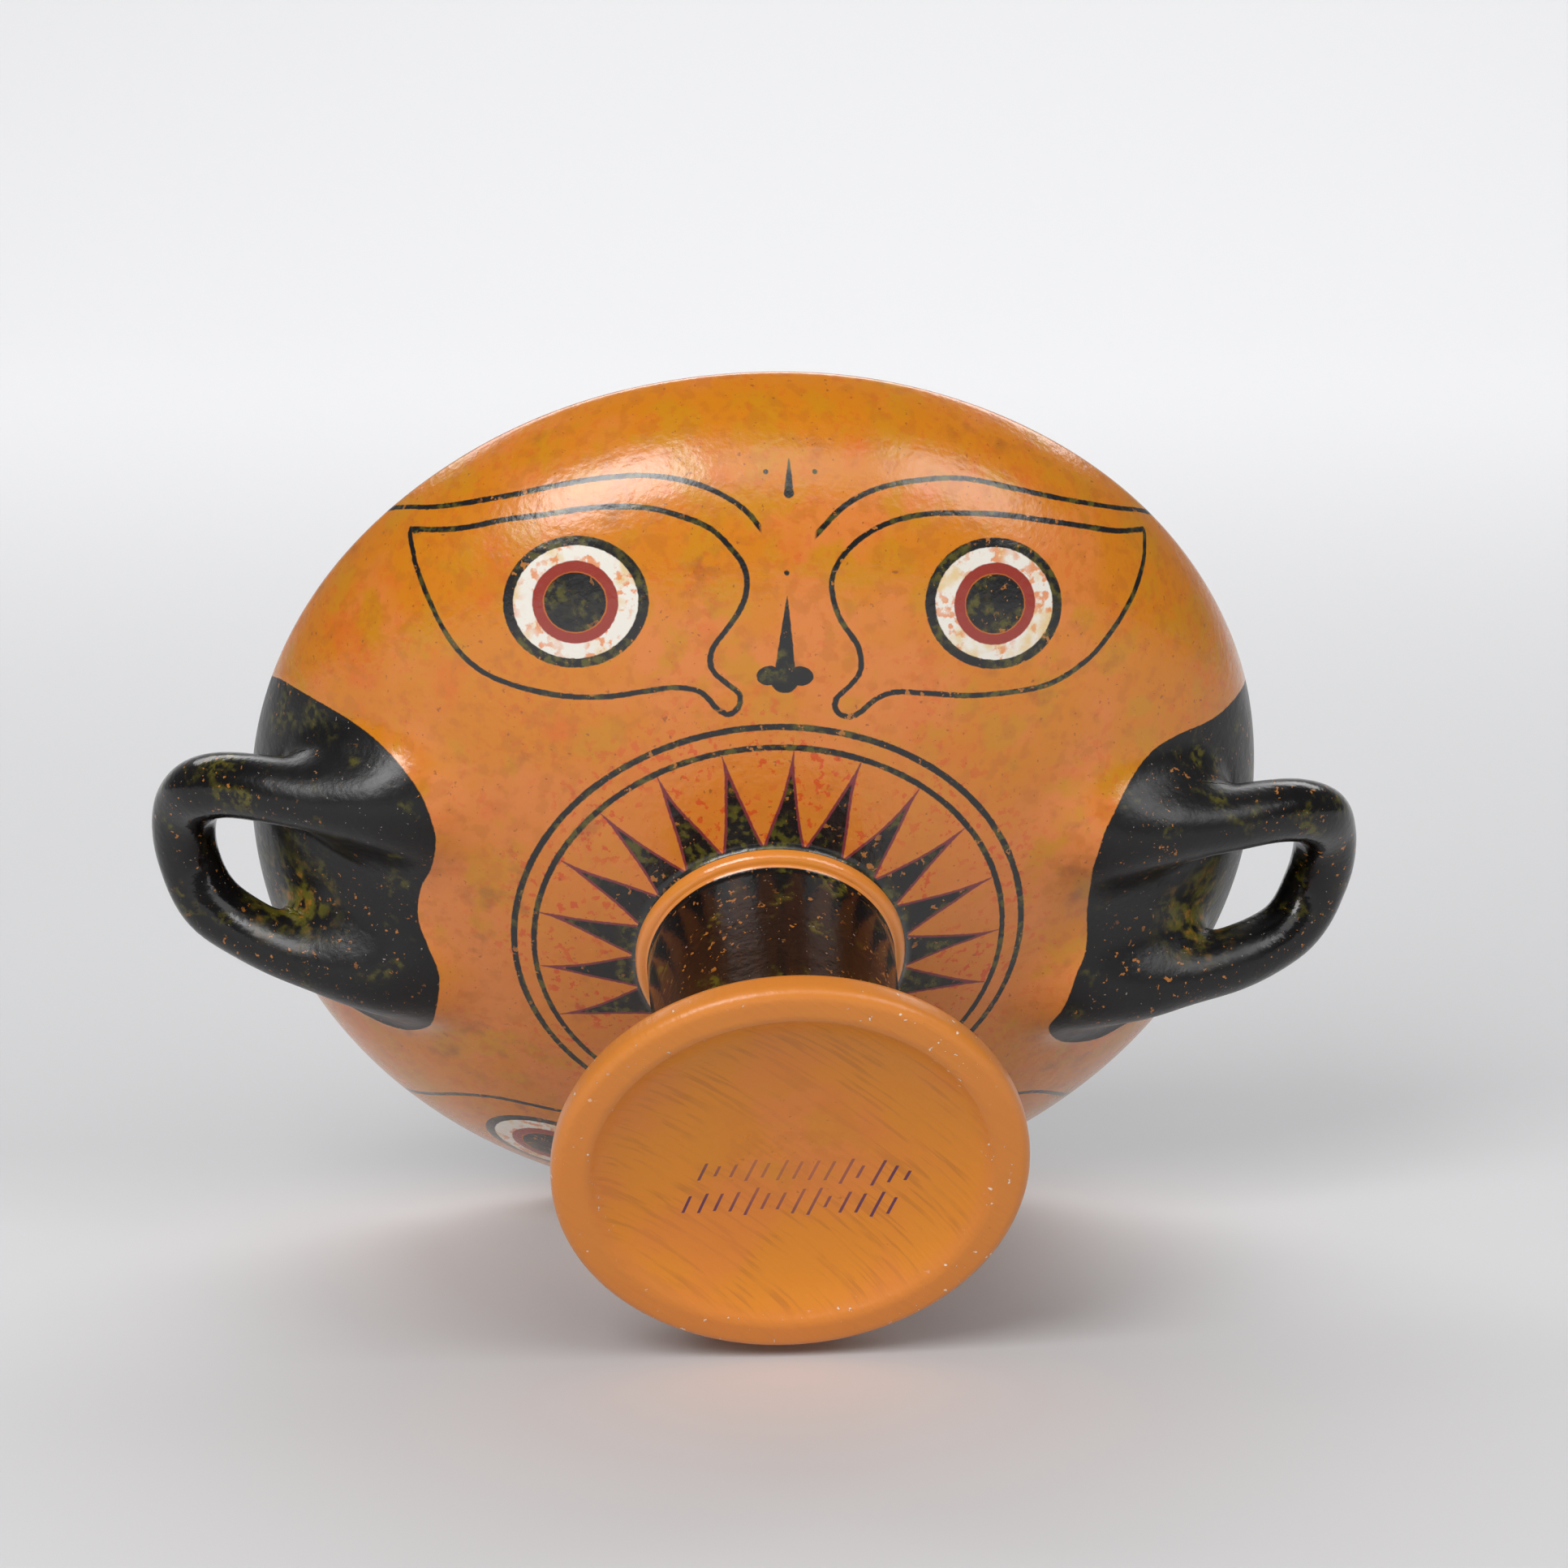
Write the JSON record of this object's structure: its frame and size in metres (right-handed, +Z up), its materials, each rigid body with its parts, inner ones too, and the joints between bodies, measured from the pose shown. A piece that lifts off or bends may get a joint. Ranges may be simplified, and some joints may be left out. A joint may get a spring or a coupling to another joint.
{
  "type": "footed drinking cup",
  "caption": "Footed drinking cup of painted terracotta: a wide shallow bowl on a stout stem and dished foot, with loop handles below the rim and large painted eyes.",
  "frame": {"origin": "centre of the foot's underside, on the surface that the cup stands on", "axes": "+Z up along the cup's axis from foot to rim, +X through one loop handle, -Y through the middle of one painted face"},
  "size_m": [0.2452, 0.206, 0.1185],
  "materials": {
    "painted_terracotta": "burnished orange terracotta with a soft sheen, painted in black slip, brick red, off-white and violet"
  },
  "bodies": {
    "root": {"kylix_cup": "painted_terracotta"}
  },
  "joints": []
}
